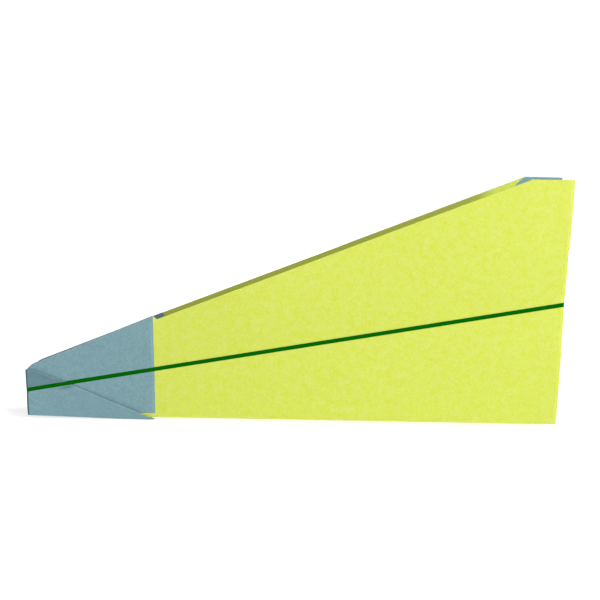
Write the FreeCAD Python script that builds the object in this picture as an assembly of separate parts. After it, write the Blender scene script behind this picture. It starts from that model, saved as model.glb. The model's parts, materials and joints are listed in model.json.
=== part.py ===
import FreeCAD, Part
import math
import os

from FreeCAD import Placement, Rotation, Vector

# A paper airplane folded from one letter sheet, standing on its keel with its nose towards -X.
# Every flat facet between two creases is one solid. Lengths are millimetres, angles degrees.
# The origin is on the keel fold, at the place where the fuselage is pinched to throw it.

# ---- the sheet ----
SHEET_LENGTH = 279.4
SHEET_WIDTH = 215.9
PAPER = 0.1                    # thickness of one layer

# ---- the folds ----
CORNER_GAP = 2.0               # how far the turned front corner stops short of the centre line
TIP_SHORT = 0.3                # how far the folded-back tip stops short of the corner's edge
GRIP_FROM_NOSE = 102.0         # the origin, under the balance point, measured from the nose

# ---- how far the folds stand open ----
HALF_OPENING = 12.0            # lean of each half from upright
WING_BEND = {"left": 4.5, "right": 0.0}        # further lean of each wing above its crease

# ---- the folder's small errors, side by side ----
CORNER_RISE = {"left": 1.5, "right": 0.3}      # double layer creased further out at its rear end
CREASE_DROP = {"left": 0.7, "right": -0.3}     # single layer behind it creased further in there
CREASE_TURN = {"left": 0.0, "right": -0.37}    # single layer's crease steeper than it should be
SHEET_SKEW = {"left": -0.6, "right": 1.9}      # tail edge out of square with the keel

# ---- clearances ----
HALF_GAP = 0.05                # inner face of each half to the centre plane, when shut
KEEL_GAP = 0.02                # keel bend of each half to the centre plane
WING_GAP = 0.02                # facet edge to the wing crease line, on both sides of it
AXIS_GAP = 0.02                # wing hinge line outside the thickest stack of layers

OUTWARD = {"left": -1.0, "right": 1.0}         # which way along Y the outer face looks

# Layers of one half, counted outwards from the centre plane. The last four are the folded-back
# tip, in the reverse order of the first four.
INNER_CORNER, INNER_FLAP, PANEL, OUTER_CORNER = range(4)
LOCK_CORNER, LOCK_PANEL, LOCK_FLAP, LOCK_COVER = range(4, 8)
LAYERS = 8

half_width = SHEET_WIDTH / 2
corner_angle = 90.0 / 2                        # first fold: it halves the sheet's square corner
lead_angle = corner_angle / 2                  # second fold: the slanted edge to the centre line
lead_slope = math.tan(math.radians(lead_angle))
tail_height = min(half_width, SHEET_LENGTH * lead_slope)
nose = (half_width - TIP_SHORT) / 2            # third fold: the tip turned back over the outside
nose_height = nose * lead_slope
tip_end = 2 * nose
lap = PAPER / math.cos(math.radians(lead_angle))     # height that one more layer adds to a slope
hinge_height = HALF_GAP + LAYERS * PAPER + AXIS_GAP  # wing hinge line, out from the centre plane


def inner_face(layer):
    """Distance of a layer's inner face from the centre plane."""
    return HALF_GAP + layer * PAPER


def corner_top(side):
    """Height of the leading edge at the rear end of the turned corner."""
    return half_width * lead_slope + CORNER_RISE[side]


def crease_end(side):
    """Where the leading edge meets the sheet's side edge."""
    climb = half_width * (1 - lead_slope) + CREASE_DROP[side]
    return half_width + climb / math.tan(math.radians(lead_angle + CREASE_TURN[side]))


def step_length(side):
    """Length of the 45 degree step where the leading edge drops behind the turned corner."""
    return (CORNER_RISE[side] + CREASE_DROP[side]) / (1 + lead_slope)


def leading_edge(side, start):
    """Leading edge of the sheet, from its rear end forward to the distance start."""
    step = step_length(side)
    points = [(crease_end(side), half_width)]
    if step > 0:
        points.append((half_width + step, corner_top(side) - step))
    points.append((half_width, corner_top(side)))
    return points + front_edge(start, nose_height)


def front_edge(start, height):
    """Top of a layer's front end, past the nose line as far as its own bend."""
    return [(nose, height), (start, height)]


def keep(outline, height):
    """The part of an outline where height(point) is not negative."""
    kept = []
    for here, after in zip(outline, outline[1:] + outline[:1]):
        a = height(here)
        b = height(after)
        if a >= 0:
            kept.append(here)
        if a * b < 0:
            share = a / (a - b)
            kept.append((here[0] + share * (after[0] - here[0]), here[1] + share * (after[1] - here[1])))
    return kept


def room_to_tail(point):
    """Distance of a point ahead of the sheet's tail edge."""
    return SHEET_LENGTH - point[0]


def room_to_turned_tail(point):
    """The same for a point of the slanted flap, measured where it lies before its fold."""
    turn = math.radians(2 * lead_angle)
    return SHEET_LENGTH - point[0] * math.cos(turn) - point[1] * math.sin(turn)


# ---- outlines: (distance from the sheet's original point, height above the keel) ----

def panel_outline(side, start, floor):
    """The main sheet of one half."""
    rear = max(SHEET_LENGTH, crease_end(side))
    tail = [(start, floor), (rear, floor), (rear, half_width)]
    return keep(tail + leading_edge(side, start), room_to_tail)


def inner_flap_outline(side, start, floor):
    """The slanted flap turned to the inside, whose raw edge lies near the corner angle."""
    raw_edge_angle = corner_angle + 2 * CREASE_TURN[side]
    raw_edge_foot = crease_end(side) - (half_width - floor) / math.tan(math.radians(raw_edge_angle))
    outline = [(start, floor), (raw_edge_foot, floor)] + leading_edge(side, start)
    return keep(outline, room_to_turned_tail)


def inner_corner_outline(side, start, floor):
    """The part of the turned corner that the slanted flap carried to the inside."""
    top = corner_top(side)
    rear = [(half_width + top - floor, floor), (half_width, top)]
    return [(start, floor)] + rear + front_edge(start, nose_height)


def outer_corner_outline(side, start, floor):
    """The part of the turned corner that stays on the outside."""
    top = corner_top(side) + lap
    return [(start, floor), (half_width, floor), (half_width, top)] + front_edge(start, nose_height + lap)


def lock_outline(side, start, floor):
    """The folded-back tip, a triangle pointing at the tail."""
    slope_foot = tip_end - floor / lead_slope
    return [(start, floor), (slope_foot, floor)] + front_edge(start, nose_height)


# name, layer, outline, height of its lower edge above the lowest keel bend
FACETS = [
    ("inner_corner", INNER_CORNER, inner_corner_outline, 2 * PAPER),
    ("inner_flap", INNER_FLAP, inner_flap_outline, 2 * PAPER),
    ("panel", PANEL, panel_outline, PAPER),
    ("corner_flap", OUTER_CORNER, outer_corner_outline, CORNER_GAP),
    ("lock_corner", LOCK_CORNER, lock_outline, CORNER_GAP),
    ("lock_panel", LOCK_PANEL, lock_outline, 0.0),
    ("lock_flap", LOCK_FLAP, lock_outline, 0.0),
    ("lock_cover", LOCK_COVER, lock_outline, 0.0),
]


def nose_bend(layer):
    """How many nested bends at the nose lie inside this layer's own, counting its own."""
    if layer < LOCK_CORNER:
        return OUTER_CORNER - layer
    return layer - LOCK_CORNER


def facet_start(layer):
    """Front end of a facet: it reaches forward to touch its own bend at the nose."""
    return nose - PAPER * max(nose_bend(layer) - 1, 0)


# ---- the wing crease, from the middle of the nose to the middle of the tail ----

crease_front = (nose, nose_height / 2)
crease_rear = (SHEET_LENGTH, tail_height / 2)


def above_crease(point):
    """Signed distance of a point above the wing crease line."""
    run = crease_rear[0] - crease_front[0]
    rise = crease_rear[1] - crease_front[1]
    away = (point[0] - crease_front[0], point[1] - crease_front[1])
    return (away[1] * run - away[0] * rise) / math.hypot(run, rise)


def fuselage_part(outline):
    return keep(outline, lambda point: -above_crease(point) - WING_GAP)


def wing_part(outline):
    return keep(outline, lambda point: above_crease(point) - WING_GAP)


def trimmed(outline):
    """An outline without points that repeat their neighbour."""
    ahead = outline[1:] + outline[:1]
    return [here for here, after in zip(outline, ahead) if math.dist(here, after) > PAPER / 100]


# ---- solids ----

def place(side, point, out):
    """A point of the closed airplane, in its own frame."""
    skew = math.tan(math.radians(SHEET_SKEW[side]))
    along = point[0] + skew * point[1] - nose - GRIP_FROM_NOSE
    return Vector(along, OUTWARD[side] * out, point[1])


def prism(side, outline, near, far):
    """A flat plate of the given outline, between two distances from the centre plane."""
    corners = [place(side, point, near) for point in trimmed(outline)]
    face = Part.Face(Part.makePolygon(corners + corners[:1]))
    return face.extrude(Vector(0, OUTWARD[side] * (far - near), 0))


def box_outline(start, end, floor, top):
    return [(start, floor), (end, floor), (end, top), (start, top)]


def nose_strip(layer, floor):
    """Outline of the bend that brings a layer of the folded-back tip round the nose."""
    front = nose - PAPER * nose_bend(layer)
    return box_outline(front, front + PAPER, floor, nose_height)


def lead_strip(side):
    """Outline of the bend that brings the turned corner round the leading edge."""
    top = corner_top(side)
    edge = [(nose, nose_height), (half_width, top)]
    return edge + [(u, v + lap) for u, v in reversed(edge)]


def facet_plates(side, layer, outline, floor):
    """Plates that make one facet with its bends, as (outline, near, far)."""
    near = inner_face(layer)
    far = near + PAPER
    start = facet_start(layer)
    plates = [(outline(side, start, floor), near, far)]
    if layer in (PANEL, LOCK_PANEL):           # these two run on round the keel
        shape = outline(side, start, floor)
        sole = keep(shape, lambda point: floor + PAPER - point[1])
        plates.append((sole, KEEL_GAP, far))
    if layer == OUTER_CORNER:
        plates.append((lead_strip(side), inner_face(INNER_CORNER), far))
    if layer > LOCK_CORNER:
        mirrored = LOCK_CORNER + OUTER_CORNER - layer
        plates.append((nose_strip(layer, floor), inner_face(mirrored), far))
    return plates


def solid_of(side, plates, part):
    """The plates of one facet, cut to its side of the wing crease and joined."""
    pieces = []
    for outline, near, far in plates:
        kept = part(outline)
        if len(kept) > 2:
            pieces.append(prism(side, kept, near, far))
    shape = pieces[0]
    for piece in pieces[1:]:
        shape = shape.fuse(piece)
    return shape.removeSplitter()


# ---- from closed to the resting pose ----

def turned(shape, centre, axis, angle):
    turn = Placement(Vector(), Rotation(axis, angle), centre)
    moved = shape.copy()
    moved.transformShape(turn.toMatrix(), True)
    return moved


def wing_axis(side):
    """A point on the closed airplane's wing hinge line, and its direction."""
    front = place(side, crease_front, hinge_height)
    rear = place(side, crease_rear, hinge_height)
    along = rear.sub(front).normalize()
    return front, along.multiply(-OUTWARD[side])


def keel_axis(side):
    """The keel hinge line, in the direction that leans this half outwards."""
    return Vector(0, 0, 0), Vector(-OUTWARD[side], 0, 0)


def resting_wing_axis(side):
    """The wing hinge line of the resting airplane: a point on it, and its direction."""
    centre, direction = keel_axis(side)
    lean = Rotation(direction, HALF_OPENING)
    front, along = wing_axis(side)
    return lean.multVec(front), lean.multVec(along)


def build_half(side):
    """Every facet of one half, in its resting pose, as name: shape."""
    made = {}
    for name, layer, outline, floor in FACETS:
        plates = facet_plates(side, layer, outline, floor)
        fuselage = solid_of(side, plates, fuselage_part)
        wing = turned(solid_of(side, plates, wing_part), *wing_axis(side), WING_BEND[side])
        made[f"{side}_fuselage_{name}"] = turned(fuselage, *keel_axis(side), HALF_OPENING)
        made[f"{side}_wing_{name}"] = turned(wing, *keel_axis(side), HALF_OPENING)
    return made


def main():
    os.makedirs("parts", exist_ok=True)
    for side in ("left", "right"):
        for name, shape in build_half(side).items():
            shape.exportStep(f"parts/{name}.step")
            print(name, len(shape.Solids), shape.isValid(), round(shape.Volume, 3))


main()
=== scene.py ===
import json
import math

import bpy
import numpy as np
from mathutils import Matrix, Vector


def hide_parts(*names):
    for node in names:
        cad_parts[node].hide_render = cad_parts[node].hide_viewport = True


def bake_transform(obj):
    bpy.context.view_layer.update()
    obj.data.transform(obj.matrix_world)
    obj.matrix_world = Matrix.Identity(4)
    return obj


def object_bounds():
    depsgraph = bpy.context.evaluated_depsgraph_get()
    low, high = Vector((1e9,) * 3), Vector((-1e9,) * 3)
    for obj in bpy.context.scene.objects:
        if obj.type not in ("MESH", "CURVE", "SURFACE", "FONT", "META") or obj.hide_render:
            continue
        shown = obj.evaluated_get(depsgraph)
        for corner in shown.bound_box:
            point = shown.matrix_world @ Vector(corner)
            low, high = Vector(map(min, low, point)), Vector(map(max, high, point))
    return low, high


# A paper airplane folded from one letter sheet, yellow on one face and grey-blue on the other.
# Each layer is drawn flat and closed in millimetres, as (along the keel, height, out from the
# centre plane), then opened to the resting pose that the frame gives.

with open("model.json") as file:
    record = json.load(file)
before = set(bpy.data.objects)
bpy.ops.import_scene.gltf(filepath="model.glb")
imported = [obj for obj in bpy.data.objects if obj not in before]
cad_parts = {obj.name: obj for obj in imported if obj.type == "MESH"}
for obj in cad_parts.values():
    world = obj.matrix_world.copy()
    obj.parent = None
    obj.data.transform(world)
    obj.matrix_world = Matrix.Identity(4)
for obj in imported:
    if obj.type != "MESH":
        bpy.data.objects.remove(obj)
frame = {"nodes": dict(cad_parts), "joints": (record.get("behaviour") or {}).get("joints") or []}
cad_low, cad_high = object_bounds()
MM = 0.001
SIDES = {"left": -1.0, "right": 1.0}

# The layers of one half, from the centre plane outwards
INNER_CORNER, INNER_FLAP, PANEL, OUTER_CORNER, LOCK_CORNER, LOCK_PANEL, LOCK_FLAP, LOCK_COVER = range(8)

# ---- paper, in mm ----
SHEET_SHARE = 0.9          # drawn thickness of a sheet, as a share of the CAD's
FOLD_ROUNDING = 1.0        # half width of the rounded strip along a wing crease
NOSE_ROUNDING = 4.0        # how far back the blunted top corner of the nose reaches
NOSE_BLUNT = 1.75          # how much height that corner loses
NOSE_SPRING = 0.3          # how far the folded-back tip stands off at its bend round the nose
NOSE_BACK = 0.3            # how far behind the nose line that bend starts
LOCK_SAG = 0.75            # how far the folded-back tip hangs below the keel
LOCK_RISE = 0.3            # how far its front end stands above the keel instead
LOCK_LIFT = 0.4            # how far the tip's slanted edge stands off the side
LOCK_LIFT_FADE = 2.5       # distance below that edge over which it comes back
LOCK_LIFT_CLEAR = 4.0      # distance from the wing crease over which the lift comes in
NOSE_SPRING_FADE = 5.0     # distance behind the nose over which the bend comes back
ARCH = 0.02                # outward bow of a strip between two folds, as a share of its width
FLAP_SHARE = 0.8           # how much flatter than the panel the inner flap stays
KEEL_SLIT = 0.05           # each half of the sheet stops this far from the centre plane
RIM_REACH = 2.5            # edges this many slits from the centre plane show the sheet's back
WAVE_TALL = 0.18           # the longer of two faint waves in the free part of a wing
WAVE_SMALL = 0.1           # the shorter one
WAVE_LEVEL = 0.2           # what both are added to
WAVE_RISE = 25.0           # height above the crease over which the waves come in
WAVE_RUN = 60.0            # distance behind the turned corner over which they come in
WRINKLE_HEIGHT = 0.12
WRINKLE_WIDTH = 0.4
BEND_RISE = 0.15           # how far the bend over the leading edge stands above the sheets' ends
INK_WIDTH = 1.85           # the line drawn along the near wing crease
INK_HEIGHT = 0.03
INK_HIGH = 0.65            # how far the drawn line starts above the crease at the nose
INK_LOW = 0.1              # how far it ends below it at the tail
LIP_HIGHLIGHT = 0.45            # painted highlight: how pale the folded-back tip is painted just inside its slanted edge
LIP_WIDTH = 0.3            # half width of that painted highlight

# ---- mesh ----
COLUMN = 1.6               # longest step along the keel, in mm
LOCK_COLUMN = 0.5          # the same in the folded-back tip
STRIP_ROWS = 9             # rows over the strip that bends at a wing crease
STRIP_REACH = 1.2          # how far those rows reach, in half widths of the strip
FOLD_STEPS = 7             # points round a closed fold
NOSE_STEPS = 11            # points round the bend of the folded-back tip
NOSE_COLUMNS = 9           # places under the blunted corner
KEEL_STEPS = 6             # points from a side to the keel
INK_COLUMNS = 240          # places along the line as far as the turned corner's rear edge
INK_FRONT_END = 1.8        # where they end behind that edge, in mm
INK_REAR_START = 2.0       # where the wider steps start

# Faint wrinkles beside the nose: from and to, as (behind the nose, height)
WRINKLES = [((0.8, 8.6), (6.2, 5.2)), ((2.9, 4.6), (5.4, 2.6))]
SHADOW_PATCH = (17.0, 3.2)         # a painted shadow patch under the crease: distance behind the nose, half length


# ---- sizes, read off the CAD facets once they are turned back to the closed airplane ----

joints = {joint["name"]: joint for joint in frame["joints"]}
half_opening = math.radians(-joints["keel_fold"]["range_deg"][0] / 2)


def lean(side):
    """Turns one half from closed to its resting lean, about the keel."""
    return Matrix.Rotation(-SIDES[side] * half_opening, 4, "X")


def wing_hinge(side):
    """A point on the closed airplane's wing hinge line, its direction, and the resting bend."""
    joint = joints[f"{side}_wing_fold"]
    back = lean(side).inverted()
    point = back @ Vector(joint["pos_m"])
    direction = back.to_3x3() @ Vector(joint["axis"])
    return point, direction, math.radians(-joint["range_deg"][0])


def turn_about(point, direction, angle):
    shift = Matrix.Translation(point)
    return shift @ Matrix.Rotation(angle, 4, direction) @ shift.inverted()


def closed_points(side, part, facet):
    """A CAD facet's corners on the closed airplane, in mm: along, height, out."""
    undo = lean(side).inverted()
    if part == "wing":
        point, direction, bend = wing_hinge(side)
        undo = turn_about(point, direction, -bend) @ undo
    mesh = frame["nodes"][f"{side}_{part}_{facet}"].data
    corners = np.array([undo @ vertex.co for vertex in mesh.vertices]) / MM
    return np.column_stack((corners[:, 0], corners[:, 2], corners[:, 1] * SIDES[side]))


def smooth(value):
    value = np.clip(value, 0, 1)
    return value * value * (3 - 2 * value)


def near_line(distance, width):
    return np.exp(-(distance / width) ** 2)


class Half:
    """The sizes of one half, in mm, on the closed airplane and without its skew."""

    def __init__(self, side):
        self.side = side
        panel = closed_points(side, "fuselage", "panel")
        wing = closed_points(side, "wing", "panel")
        corner = closed_points(side, "wing", "corner_flap")
        flap_foot = closed_points(side, "fuselage", "corner_flap")
        self.height = wing[:, 1].max()
        bottom = panel[panel[:, 1] < panel[:, 1].min() + 0.01]
        top = wing[wing[:, 1] > self.height - 0.01]
        self.nose = bottom[:, 0].min()
        self.tail = bottom[:, 0].max()
        self.skew = (top[:, 0].max() - self.tail) / self.height
        self.paper = np.ptp(wing[:, 2])
        self.first = closed_points(side, "wing", "inner_corner")[:, 2].min()
        self.tip = closed_points(side, "fuselage", "lock_cover")[:, 0].max()
        self.nose_height = (self.tip - self.nose) * math.tan(math.pi / 8)
        self.crease_end = top[:, 0].min() - self.skew * self.height
        self.corner_gap = flap_foot[:, 1].min()
        self.corner = flap_foot[flap_foot[:, 1] < self.corner_gap + 0.01][:, 0].max()
        self.corner -= self.skew * self.corner_gap
        self.corner_top = corner[:, 1].max() - self.paper / math.cos(math.pi / 8)
        self.edge = self.leading_edge(wing)
        self.slope = (self.height - self.nose_height) / 2 / (self.tail - self.nose)

    def leading_edge(self, wing):
        """Corner points of the leading edge: nose, turned corner, its step if any, crease end."""
        points = [(self.nose, self.nose_height), (self.corner, self.corner_top)]
        along = wing[:, 0] - self.skew * wing[:, 1]
        behind = (along > self.corner + 0.1) & (along < self.crease_end - 0.1)
        for u, v in sorted(set(zip(along[behind].round(3), wing[behind, 1].round(3)))):
            if v > self.crease(u) + 1:
                points.append((u, v))
        return points + [(self.crease_end, self.height)]

    def out(self, layer):
        """Distance of a layer's middle from the centre plane."""
        return self.first + (layer + 0.5) * self.paper

    def crease(self, u):
        share = (u - self.nose) / (self.tail - self.nose)
        return (self.nose_height + share * (self.height - self.nose_height)) / 2

    def above_crease(self, u, v):
        return (v - self.crease(u)) / math.hypot(1, self.slope)

    def blunt(self, u):
        """Height lost to the blunted top corner of the nose."""
        return NOSE_BLUNT * np.clip(1 - (u - self.nose) / NOSE_ROUNDING, 0, 1) ** 2

    def lead(self, u):
        """Height of the leading edge."""
        return np.interp(u, *zip(*self.edge)) - BEND_RISE * (u < self.crease_end) - self.blunt(u)

    def lock_top(self, u):
        """Height of the folded-back tip's slanted edge, which sags with its point."""
        share = np.clip((u - self.nose) / (self.tip - self.nose), 0, 1)
        return self.nose_height * (1 - share) - LOCK_SAG * share ** 2 - self.blunt(u)

    def lock_floor(self, u):
        """Height of the folded-back tip's keel, which sags towards its point."""
        share = np.clip((u - self.nose) / (self.tip - self.nose) / 0.7, 0, 1)
        floor = LOCK_RISE - (LOCK_RISE + LOCK_SAG) * share
        return np.minimum(floor, self.lock_top(u))

    def flap_floor(self, u):
        """Height of the inner flap's raw edge."""
        return np.clip(u - (self.crease_end - self.height), 2 * self.paper, self.height)

    def inner_corner_top(self, u):
        behind = self.corner + self.corner_top - u
        return np.where(u > self.corner, behind, self.lead(np.minimum(u, self.corner)))


halves = {side: Half(side) for side in SIDES}


# ---- the shape of the paper: how far it stands out from its flat place ----

def arch(share):
    share = np.clip(share, 0, 1)
    return 4 * share * (1 - share)


def bow(half, u, v):
    """Outward bow that every layer of one half shares, none at the keel and the wing crease."""
    crease = half.crease(u)
    wing = np.maximum(half.lead(u) - crease, 1)
    lower = crease * arch(v / crease)
    upper = wing * arch(np.maximum(v - crease, 0) / wing)
    free = smooth((v - crease) / WAVE_RISE) * smooth((u - half.corner) / WAVE_RUN)
    tall = WAVE_TALL * np.sin(u / 31 + v / 47 + 0.8)
    wave = tall + WAVE_SMALL * np.sin(u / 14 - v / 19) + WAVE_LEVEL
    return ARCH * (lower + upper) + free * wave


def flap_lift(half, u, v):
    """How far the inner flap stands inwards of the bowed panel."""
    depth = half.lead(u) - v
    whole = np.maximum(half.lead(u) - half.flap_floor(u), 1)
    return -FLAP_SHARE * bow(half, u, v) * (0.25 + 0.75 * smooth(depth / whole))


def wrinkle(half, u, v):
    """Height of the faint wrinkles beside the nose, from 0 to 1."""
    height = np.zeros(np.shape(u))
    for (u0, v0), (u1, v1) in WRINKLES:
        along = np.array((u1 - u0, v1 - v0))
        length = np.hypot(*along)
        share = ((u - half.nose - u0) * along[0] + (v - v0) * along[1]) / length ** 2
        across = ((u - half.nose - u0) * along[1] - (v - v0) * along[0]) / length
        height = np.maximum(height, near_line(across, WRINKLE_WIDTH) * near_line(share - 0.5, 0.45))
    return height


def lock_lift(half, u, v, layer):
    """How far a layer of the folded-back tip stands off: at its slanted edge and at the nose."""
    share = (layer - OUTER_CORNER) / (LOCK_COVER - OUTER_CORNER)
    below = np.maximum(half.lock_top(np.maximum(u, half.nose)) - v, 0)
    clear = smooth(np.abs(half.above_crease(u, v)) / LOCK_LIFT_CLEAR)
    edge = LOCK_LIFT * clear * np.exp(-below / LOCK_LIFT_FADE)
    spring = NOSE_SPRING * np.exp(-np.maximum(u - half.nose, 0) / NOSE_SPRING_FADE)
    crumple = WRINKLE_HEIGHT * wrinkle(half, u, v)
    return share * (np.maximum(edge, spring) + crumple)


# ---- flat layers, closed airplane, to the resting pose ----

def rotated(points, pivot, direction, angles):
    """Each point turned by its own angle about one axis."""
    axis = np.array(direction)
    arm = points - np.array(pivot)
    cosine = np.cos(angles)[:, None]
    sine = np.sin(angles)[:, None]
    along = (arm @ axis)[:, None] * axis
    return np.array(pivot) + arm * cosine + np.cross(axis, arm) * sine + along * (1 - cosine)


def rest_points(half, flat):
    """Closed points (along, height, out) in mm to the resting airplane in metres."""
    u, v, out = flat.T
    out = out + bow(half, u, v)
    points = np.column_stack((u + half.skew * v, SIDES[half.side] * out, v)) * MM
    pivot, direction, bend = wing_hinge(half.side)
    share = smooth((half.above_crease(u, v) / FOLD_ROUNDING + 1) / 2)
    points = rotated(points, pivot, direction, share * bend)
    turn = np.array(lean(half.side).to_3x3())
    return points @ turn.T


class Paper:
    """A mesh gathered from grids of flat points. Points in the same place are one vertex."""

    def __init__(self, name):
        self.name = name
        self.keys = {}
        self.flat = []
        self.rest = []
        self.marks = []
        self.faces = []

    def grid(self, half, u, v, out, wear_and_highlight=0.0, shade=0.0, flip=False):
        """All arrays have one shape, with rows along the sheet."""
        shape = np.shape(v)
        columns = [np.broadcast_to(a, shape).ravel() for a in (u, v, out, wear_and_highlight, shade)]
        flat = np.column_stack(columns[:3])
        rest = rest_points(half, flat)
        index = np.empty(len(flat), int)
        for i, place in enumerate(rest):
            key = tuple(np.round(place / MM, 3))
            if key not in self.keys:
                self.keys[key] = len(self.rest)
                self.flat.append(flat[i])
                self.rest.append(place)
                self.marks.append((columns[3][i], columns[4][i]))
            index[i] = self.keys[key]
        index = index.reshape(shape)
        flip = flip ^ (half.side == "right")
        for i in range(shape[0] - 1):
            for j in range(shape[1] - 1):
                ring = [index[i, j], index[i + 1, j], index[i + 1, j + 1], index[i, j + 1]]
                ring = [a for a, b in zip(ring, ring[1:] + ring[:1]) if a != b]
                if len(set(ring)) > 2:
                    self.faces.append(ring[::-1] if flip else ring)

    def piece(self, thickness, materials):
        """The mesh with the paper's thickness. Materials are for the front, the back, the edge."""
        mesh = bpy.data.meshes.new(self.name)
        mesh.from_pydata([list(p) for p in self.rest], [], self.faces)
        mesh.validate()
        sheet = mesh.attributes.new("sheet", "FLOAT_VECTOR", "POINT")
        sheet.data.foreach_set("vector", np.array(self.flat, np.float32).ravel())
        for column, name in enumerate(("wear_and_highlight", "shade")):
            mark = mesh.attributes.new(name, "FLOAT", "POINT")
            mark.data.foreach_set("value", np.array(self.marks, np.float32)[:, column].copy())
        for material in materials:
            mesh.materials.append(material)
        mesh.shade_smooth()
        piece = bpy.data.objects.new(self.name, mesh)
        bpy.context.scene.collection.objects.link(piece)
        solid = piece.modifiers.new("thickness", "SOLIDIFY")
        solid.thickness = thickness * MM
        solid.offset = 0
        solid.use_even_offset = False
        solid.material_offset = 1
        solid.material_offset_rim = 2
        bpy.context.view_layer.objects.active = piece
        piece.select_set(True)
        bpy.ops.object.modifier_apply(modifier="thickness")
        piece.select_set(False)
        for face in piece.data.polygons:
            if face.material_index == 2 and abs(face.center.y) < RIM_REACH * KEEL_SLIT * MM:
                face.material_index = 1
        return piece


def stations(*marks, step=COLUMN):
    """Places along the keel: every mark, with even steps no longer than step between them."""
    marks = sorted(set(marks))
    places = [marks[0]]
    for start, end in zip(marks, marks[1:]):
        count = max(1, math.ceil((end - start) / step))
        places += list(np.linspace(start, end, count + 1)[1:])
    return np.array(places)


def nose_marks(half):
    """Closely spaced places under the blunted corner of the nose."""
    return half.nose + np.linspace(NOSE_BACK, NOSE_ROUNDING, NOSE_COLUMNS)


def band(low, high, count):
    """Heights from low to high at each station, closer together near both ends."""
    share = (1 - np.cos(np.linspace(0, math.pi, count))) / 2
    return low[:, None] + (high - low)[:, None] * share


def side_band(half, u, low, high, rows=(14, 22)):
    """Heights from low to high, with close rows over the strip that bends at the wing crease."""
    strip = np.linspace(-STRIP_REACH, STRIP_REACH, STRIP_ROWS) * FOLD_ROUNDING * math.hypot(1, half.slope)
    lines = np.clip(half.crease(u)[:, None] + strip, low[:, None], high[:, None])
    fuselage = band(low, lines[:, 0], rows[0])
    wing = band(lines[:, -1], high, rows[1])
    return np.concatenate((fuselage, lines[:, 1:-1], wing), axis=1)


def crease_wear(half, u, v):
    return 0.5 * near_line(v - half.crease(u), 0.35)


def edge_wear(half, u, v):
    edge = 0.25 * near_line(v - half.lead(u), 0.3) * (u < half.crease_end - 1)
    return np.maximum(crease_wear(half, u, v), edge)


def fold_over(paper, half, outer, inner, shade=0.0):
    """The rounded bend that carries an outer layer's edge over to an inner one's, with light wear and,
    where given, painted shade.
    """
    turn = np.linspace(0, math.pi, FOLD_STEPS)[:, None]
    middle = (outer + inner)[:, None] / 2
    reach = (outer - inner)[:, None] / 2
    rise = np.linalg.norm(reach, axis=2, keepdims=True) / math.cos(math.pi / 8)
    points = middle + reach * np.cos(turn) + rise * np.sin(turn) * np.array([0.0, 1.0, 0.0])
    paper.grid(half, points[..., 0], points[..., 1], points[..., 2], 0.25, shade)


def edge_points(u, v, out):
    """The points along the top of a layer."""
    return np.column_stack((u, v[:, -1], np.broadcast_to(out, v.shape)[:, -1]))


def main_sheet(half, materials):
    """The panel, its bend over the leading edge, and the inner flap."""
    paper = Paper(f"{half.side}_sheet")
    foot = half.out(PANEL)
    knots = [point[0] for point in half.edge]
    u = stations(*nose_marks(half), half.crease_end - half.height, half.tail, *knots)
    v = side_band(half, u, np.full(len(u), foot), half.lead(u))
    columns = np.repeat(u[:, None], v.shape[1], 1)
    paper.grid(half, columns, v, foot, edge_wear(half, columns, v))

    turn = np.linspace(0, math.pi / 2, KEEL_STEPS)
    round_v = np.broadcast_to(half.paper / 2 + (foot - half.paper / 2) * (1 - np.cos(turn)),
                              (len(u), KEEL_STEPS))
    round_out = KEEL_SLIT + (foot - KEEL_SLIT) * np.sin(turn)
    paper.grid(half, u[:, None], round_v, round_out, 0.3)

    ahead = u[u <= half.crease_end + 1e-6]
    top = half.lead(ahead)
    v = side_band(half, ahead, half.flap_floor(ahead), top, (8, 22))
    columns = np.repeat(ahead[:, None], v.shape[1], 1)
    out = half.out(INNER_FLAP) + flap_lift(half, columns, v)
    paper.grid(half, columns, v, out, crease_wear(half, columns, v), flip=True)
    outer = np.column_stack((ahead, top, np.full(len(ahead), foot)))
    fold_over(paper, half, outer, edge_points(ahead, v, out))
    return paper.piece(half.paper * SHEET_SHARE, materials)


def corner_sheet(half, materials):
    """The turned corner: its outer part, the bend over the leading edge, and its inner part."""
    paper = Paper(f"{half.side}_corner")
    front = stations(*nose_marks(half), half.corner)
    v = side_band(half, front, np.full(len(front), half.corner_gap), half.lead(front), (12, 18))
    columns = np.repeat(front[:, None], v.shape[1], 1)
    paper.grid(half, columns, v, half.out(OUTER_CORNER), edge_wear(half, columns, v))
    outer = edge_points(front, v, half.out(OUTER_CORNER))
    reach = half.corner + half.corner_top - 2 * half.paper
    u = stations(*nose_marks(half), half.corner, reach)
    v = side_band(half, u, np.full(len(u), 2 * half.paper), half.inner_corner_top(u), (8, 14))
    columns = np.repeat(u[:, None], v.shape[1], 1)
    out = half.out(INNER_CORNER) + flap_lift(half, columns, v)
    paper.grid(half, columns, v, out, crease_wear(half, columns, v), flip=True)
    # painted shade along the bend over the leading edge, a thin dark outline
    fold_over(paper, half, outer, edge_points(u, v, out)[:len(front)], shade=0.5)
    return paper.piece(half.paper * SHEET_SHARE, materials)


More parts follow.
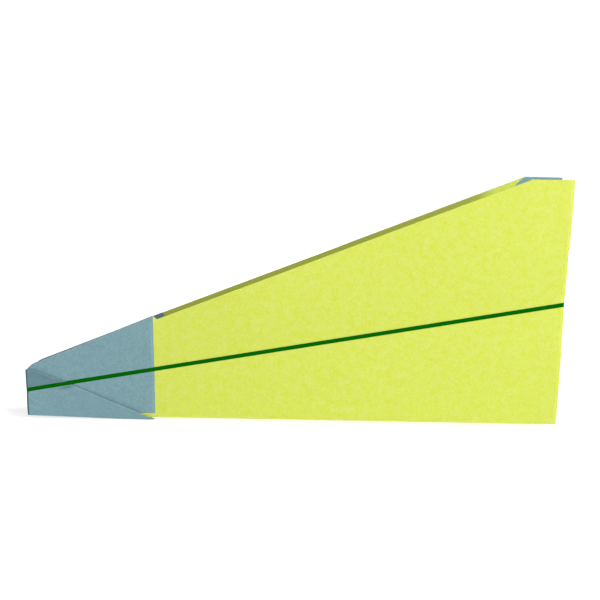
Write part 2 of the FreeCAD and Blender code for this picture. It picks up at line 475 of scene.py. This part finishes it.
def lock_layer(half, layer):
    """One layer of the folded-back tip, round its bend at the nose and back to its point."""
    start = half.nose + NOSE_BACK
    straight = stations(start, half.nose + NOSE_ROUNDING, half.tip, step=LOCK_COLUMN)
    turn = np.linspace(math.pi, 0, NOSE_STEPS)[:-1, None]
    u = np.concatenate((np.full(len(turn), start), straight))
    top = half.lock_top(u)
    lowest = half.corner_gap if layer == LOCK_CORNER else KEEL_SLIT
    floor = np.minimum(np.maximum(half.lock_floor(u), lowest), top)
    v = side_band(half, u, floor, top, (20, 14))
    columns = np.repeat(u[:, None], v.shape[1], 1)
    out = half.out(layer) + lock_lift(half, columns, v, layer)
    bend = slice(0, len(turn))
    partner = OUTER_CORNER + LOCK_CORNER - layer
    turned_in = partner <= INNER_FLAP
    inner = half.out(partner) + turned_in * flap_lift(half, columns[bend], v[bend])
    radius = (out[bend] - inner) / 2
    out[bend] = inner + radius * (1 + np.cos(turn))
    columns[bend] -= radius * np.sin(turn)
    return columns, v, out


def lock_marks(half, u, v, layer):
    """Wear along the folds of the tip and a painted highlight inside its slanted edge; painted shade
    where it turns away above the crease, a painted shadow patch under the crease, and a dark painted edge
    along the nose.
    """
    wear_and_highlight = np.maximum(crease_wear(half, u, v), 0.6 * wrinkle(half, u, v))
    if layer != LOCK_COVER:
        return wear_and_highlight, 0.0
    above = half.above_crease(u, v)
    behind = u - half.nose
    # painted shade on the tip above the crease, where it turns away
    turned = 0.4 * smooth(above / 1.2 + 0.5)
    # a painted shadow patch just under the crease
    centre, reach = SHADOW_PATCH
    shadow_patch = 0.6 * near_line((behind - centre) / reach, 1) * near_line(above + 1.2, 0.6)
    # a painted highlight just inside the slanted edge
    wear_and_highlight = np.maximum(wear_and_highlight, LIP_HIGHLIGHT * near_line(half.lock_top(u) - v - LIP_WIDTH, LIP_WIDTH))
    # painted shade: a dark outline along the nose's edge, where its bend turns away from the light
    nose_edge_shade = 0.95 * (1 - smooth((behind - 0.15) / 0.5))
    return wear_and_highlight * (1 - nose_edge_shade), np.maximum(np.maximum(turned, shadow_patch), nose_edge_shade)


def lock_sheet(half, name, outer_layer, inner_layer, materials):
    """Two layers of the folded-back tip, joined by the bend along its slanted edge."""
    paper = Paper(f"{half.side}_{name}")
    edges = []
    for layer in (outer_layer, inner_layer):
        u, v, out = lock_layer(half, layer)
        standing = v[:, -1] > v[:, 0] + 1e-6
        u, v, out = u[standing], v[standing], out[standing]
        wear_and_highlight, shade = lock_marks(half, u, v, layer)
        paper.grid(half, u, v, out, wear_and_highlight, shade, flip=layer == inner_layer)
        edges.append(np.column_stack((u[:, -1], v[:, -1], out[:, -1])))
    joined = min(len(edge) for edge in edges)
    # painted shade along the slanted edge's bend, a thin dark line
    fold_over(paper, half, edges[0][:joined], edges[1][:joined], shade=0.35)
    return paper.piece(half.paper * SHEET_SHARE, materials)


def lock_keel(materials):
    """The folded-back tip's own keel: a narrow strip from one side round to the other."""
    paper = Paper("lock_keel")
    turn = np.linspace(0, math.pi / 2, 2 * KEEL_STEPS)
    for half in halves.values():
        u, v, out = lock_layer(half, LOCK_COVER)
        u, side_foot, side_out = u[:, :1], v[:, :1], out[:, :1]
        drop = half.out(LOCK_PANEL) * 0.5 * np.clip((half.tip - u) / 3, 0, 1)
        depth = side_foot - half.lock_floor(np.maximum(u, half.nose)) + drop
        # light wear and a little painted shade over the tip's keel strip
        paper.grid(half, u, side_foot - depth * np.cos(turn), side_out * np.sin(turn), 0.2, 0.1)
    return paper.piece(halves["left"].paper * SHEET_SHARE, materials)


def ink_line(half, material):
    """The line drawn along the wing crease, on top of whatever layer is outermost there."""
    paper = Paper("fold_line")
    front = np.linspace(half.nose, half.corner + INK_FRONT_END, INK_COLUMNS)
    u = np.concatenate((front, stations(half.corner + INK_REAR_START, half.tail)))
    across = np.array([-0.5, -0.3, -0.15, 0, 0.15, 0.3, 0.5]) * INK_WIDTH
    share = (u - half.nose) / (half.tail - half.nose)
    drawn = half.crease(u) + INK_HIGH * (1 - share) - INK_LOW * share
    v = drawn[:, None] + across
    columns = np.repeat(u[:, None], len(across), 1)
    on_lock = smooth((half.lock_top(columns) - v) / 0.3 + 3)
    on_corner = smooth((half.corner - columns) / 0.3 + 1)
    lock_out = half.out(LOCK_COVER) + lock_lift(half, columns, v, LOCK_COVER)
    out = half.out(PANEL) + on_corner * half.paper
    out = out + on_lock * (lock_out - out) + half.paper / 2 + INK_HEIGHT
    paper.grid(half, columns, v, out)
    return paper.piece(INK_HEIGHT, [material] * 3)


# ---- materials ----

# Each dye as its darker and lighter mottling and its pale colour for worn folds and a painted highlight;
# painted shade is multiplied in towards SHADED.
YELLOW = ((0.356, 0.405, 0.014, 1), (0.394, 0.434, 0.112, 1), (0.42, 0.46, 0.13, 1))
BLUE = ((0.098, 0.178, 0.205, 1), (0.137, 0.228, 0.250, 1), (0.22, 0.31, 0.34, 1))
CUT_EDGE = ((0.26, 0.32, 0.16, 1), (0.33, 0.39, 0.22, 1), (0.4, 0.44, 0.28, 1))
INK = ((0.0005, 0.066, 0.0005, 1), (0.001, 0.074, 0.001, 1), (0.003, 0.09, 0.003, 1))
SHADED = (0.22, 0.27, 0.33, 1)
YELLOW_GRAIN = 1.6
PATCH_SHARE = 0.3          # how much of the mottling is wide patches


def node(tree, kind, **inputs):
    made = tree.nodes.new(kind)
    for name, value in inputs.items():
        made.inputs[name.replace("_", " ")].default_value = value
    return made


def attribute(tree, name):
    made = tree.nodes.new("ShaderNodeAttribute")
    made.attribute_name = name
    return made


def mixed(tree, factor, first, second, blend="MIX"):
    """A colour mix. Factor is a socket; first and second are sockets or colours."""
    made = tree.nodes.new("ShaderNodeMix")
    made.data_type = "RGBA"
    made.blend_type = blend
    tree.links.new(factor, made.inputs[0])
    for slot, value in ((6, first), (7, second)):
        if isinstance(value, bpy.types.NodeSocket):
            tree.links.new(value, made.inputs[slot])
        else:
            made.inputs[slot].default_value = value
    return made.outputs[2]


def paper_material(name, dye_colours, grain_scale=1.2, specular=0.2):
    """Uncoated dyed paper: cloudy fibre mottling, a little tooth, paler dye along the folds that also
    serves as a painted highlight, and painted shade multiplied in.
    """
    dark, light, worn_and_highlight = dye_colours
    material = bpy.data.materials.new(name)
    material.use_nodes = True
    tree = material.node_tree
    shader = tree.nodes["Principled BSDF"]
    link = tree.links.new
    sheet = attribute(tree, "sheet").outputs["Vector"]
    cloud = node(tree, "ShaderNodeTexNoise", Scale=grain_scale, Detail=4.0, Roughness=0.7)
    fleck = node(tree, "ShaderNodeTexNoise", Scale=0.3, Detail=3.0, Roughness=0.6)
    fibre = node(tree, "ShaderNodeTexNoise", Scale=5.0, Detail=5.0, Roughness=0.7, Distortion=1.5)
    for noise in (cloud, fleck, fibre):
        link(sheet, noise.inputs["Vector"])
    grain = node(tree, "ShaderNodeMapRange", From_Min=0.34, From_Max=0.66)
    link(cloud.outputs["Fac"], grain.inputs["Value"])
    patches = node(tree, "ShaderNodeMapRange", From_Min=0.35, From_Max=0.65)
    link(fleck.outputs["Fac"], patches.inputs["Value"])
    both = tree.nodes.new("ShaderNodeMix")
    both.inputs[0].default_value = PATCH_SHARE
    link(grain.outputs["Result"], both.inputs[2])
    link(patches.outputs["Result"], both.inputs[3])
    dye = mixed(tree, both.outputs[0], dark, light)
    pale_share = tree.nodes.new("ShaderNodeMath")
    pale_share.operation = "MULTIPLY"
    link(attribute(tree, "wear_and_highlight").outputs["Fac"], pale_share.inputs[0])
    link(fibre.outputs["Fac"], pale_share.inputs[1])
    # paler dye on worn folds, and the painted highlight inside the tip's slanted edge
    dye = mixed(tree, pale_share.outputs[0], dye, worn_and_highlight)
    # painted shade: the shade attribute multiplies the dye towards SHADED
    dye = mixed(tree, attribute(tree, "shade").outputs["Fac"], dye, SHADED, "MULTIPLY")
    link(dye, shader.inputs["Base Color"])
    rough = node(tree, "ShaderNodeMapRange", To_Min=0.75, To_Max=0.92)
    link(fibre.outputs["Fac"], rough.inputs["Value"])
    link(rough.outputs["Result"], shader.inputs["Roughness"])
    bump = node(tree, "ShaderNodeBump", Strength=0.2, Distance=0.00006)
    link(fibre.outputs["Fac"], bump.inputs["Height"])
    link(bump.outputs["Normal"], shader.inputs["Normal"])
    shader.inputs["Specular IOR Level"].default_value = specular
    return material


yellow = paper_material("yellow_face", YELLOW, YELLOW_GRAIN)
blue = paper_material("blue_face", BLUE)
cut_edge = paper_material("cut_edge", CUT_EDGE)
ink = paper_material("ink", INK, specular=0.0)


# ---- the pieces ----

def wing_line(half, offset):
    """A point of the resting wing crease, moved by offset mm.

    It moves square to the hinge, so that the bending strip stays on the crease at both ends."""
    u = (half.nose + half.tail) / 2
    middle = np.array([u, half.crease(u), half.out(PANEL)])
    ends = rest_points(half, np.array([middle, middle + (0, 1, 0)]))
    hinge = Vector(joints[f"{half.side}_wing_fold"]["axis"])
    rise = Vector(ends[1] - ends[0])
    across = (rise - rise.project(hinge)).normalized()
    return Vector(ends[0]) + across * offset * MM


def place_piece(piece, half, facets=()):
    """Bakes a piece, already bent over its half's wing crease, and has it stand for both parts of the
    facets.
    """
    wing_line(half, -FOLD_ROUNDING)
    wing_line(half, FOLD_ROUNDING)
    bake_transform(piece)
    nodes = [f"{half.side}_{part}_{facet}" for part in ("fuselage", "wing") for facet in facets]
    if nodes:
        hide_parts(*nodes)


yellow_out = [yellow, blue, cut_edge]
blue_out = [blue, yellow, cut_edge]
for half in halves.values():
    place_piece(main_sheet(half, yellow_out), half, ("panel", "inner_flap"))
    place_piece(corner_sheet(half, blue_out), half, ("corner_flap", "inner_corner"))
    place_piece(lock_sheet(half, "lock_outer", LOCK_COVER, LOCK_CORNER, blue_out),
                half, ("lock_cover", "lock_corner"))
    place_piece(lock_sheet(half, "lock_inner", LOCK_FLAP, LOCK_PANEL, yellow_out),
                half, ("lock_flap", "lock_panel"))
place_piece(ink_line(halves["left"], ink), halves["left"])
keel_piece = lock_keel(blue_out)
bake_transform(keel_piece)


# ---- stage ----

WHITE = (1, 1, 1, 1)
FLOOR_COLOUR = (0.93, 0.93, 0.93, 1)
FLOOR_SIZE = 8.0           # metres, as all sizes of the stage
FLOOR_DROP = 1.2           # below the CAD model, in mm
FLOOR_GLOW = (0.32, 0.6)   # the floor's own light, under the airplane and far away
FLOOR_FADE = (0.5, 2.0)    # where it changes from one to the other, from the floor's centre
SKY_GLOW = (1.05, 0.45)    # the surroundings' light, at eye level and overhead
SKY_FADE = (0.15, 0.7)     # where it changes, as the height of the direction
LIGHT_AIM = (0, 0, 0.05)
CAMERA_AIM = (0.0129, 0, 0.0514)
CAMERA_DISTANCE = 0.5884
CAMERA_ELEVATION = 5.18    # degrees
CAMERA_AZIMUTH = -0.554
CAMERA_ROLL = 1.16
CAMERA_LENS = 83.1         # mm, on a sensor 36 mm wide
CAMERA_SENSOR = 36


def faded(tree, where, strength):
    """A strength that changes evenly from its first value to its second between two places."""
    return node(tree, "ShaderNodeMapRange", From_Min=where[0], From_Max=where[1],
                To_Min=strength[0], To_Max=strength[1])


def make_floor():
    """A pale, faintly glowing floor, which fades to white far away."""
    material = bpy.data.materials.new("floor_white")
    material.use_nodes = True
    shader = material.node_tree.nodes["Principled BSDF"]
    shader.inputs["Base Color"].default_value = FLOOR_COLOUR
    shader.inputs["Roughness"].default_value = 0.9
    shader.inputs["Specular IOR Level"].default_value = 0.1
    shader.inputs["Emission Color"].default_value = WHITE
    tree = material.node_tree
    place = node(tree, "ShaderNodeTexCoord")
    away = node(tree, "ShaderNodeVectorMath")
    away.operation = "LENGTH"
    tree.links.new(place.outputs["Object"], away.inputs[0])
    fade = faded(tree, FLOOR_FADE, FLOOR_GLOW)
    tree.links.new(away.outputs["Value"], fade.inputs["Value"])
    tree.links.new(fade.outputs["Result"], shader.inputs["Emission Strength"])
    height = cad_low.z - FLOOR_DROP * MM
    bpy.ops.mesh.primitive_plane_add(size=FLOOR_SIZE, location=(0, 0, height))
    floor = bpy.context.object
    floor.name = "floor"
    floor.data.materials.append(material)


def make_light(name, place, size, power):
    data = bpy.data.lights.new(name, "AREA")
    data.shape = "DISK"
    data.size = size
    data.energy = power
    light = bpy.data.objects.new(name, data)
    light.location = place
    aim = Vector(LIGHT_AIM) - Vector(place)
    light.rotation_euler = aim.to_track_quat("-Z", "Y").to_euler()
    bpy.context.scene.collection.objects.link(light)


def make_camera():
    """The view on the left side, a little from above and slightly tilted."""
    elevation = math.radians(CAMERA_ELEVATION)
    azimuth = math.radians(CAMERA_AZIMUTH)
    roll = math.radians(CAMERA_ROLL)
    data = bpy.data.cameras.new("camera")
    data.sensor_width = CAMERA_SENSOR
    data.lens = CAMERA_LENS
    camera = bpy.data.objects.new("camera", data)
    level = math.cos(elevation)
    back = Vector((math.sin(azimuth) * level, -math.cos(azimuth) * level, math.sin(elevation)))
    camera.location = Vector(CAMERA_AIM) + back * CAMERA_DISTANCE
    turn = (-back).to_track_quat("-Z", "Y").to_matrix() @ Matrix.Rotation(roll, 3, "Z")
    camera.rotation_euler = turn.to_euler()
    bpy.context.scene.collection.objects.link(camera)
    bpy.context.scene.camera = camera


def make_world():
    """White all round at eye level, dimmer overhead."""
    world = bpy.data.worlds.new("studio")
    world.use_nodes = True
    tree = world.node_tree
    direction = tree.nodes.new("ShaderNodeTexCoord")
    split = tree.nodes.new("ShaderNodeSeparateXYZ")
    fade = faded(tree, SKY_FADE, SKY_GLOW)
    tree.links.new(direction.outputs["Generated"], split.inputs[0])
    tree.links.new(split.outputs["Z"], fade.inputs["Value"])
    tree.links.new(fade.outputs["Result"], tree.nodes["Background"].inputs["Strength"])
    tree.nodes["Background"].inputs["Color"].default_value = WHITE
    bpy.context.scene.world = world


make_floor()
make_world()
make_light("front_key", (0.9, -1.3, 0.14), 0.25, 18.0)
make_light("back_key", (0.5, 1.5, 0.14), 0.25, 15.0)
make_light("top", (0.8, -0.8, 1.1), 0.5, 12.0)
make_camera()
bpy.context.scene.view_settings.view_transform = "Standard"
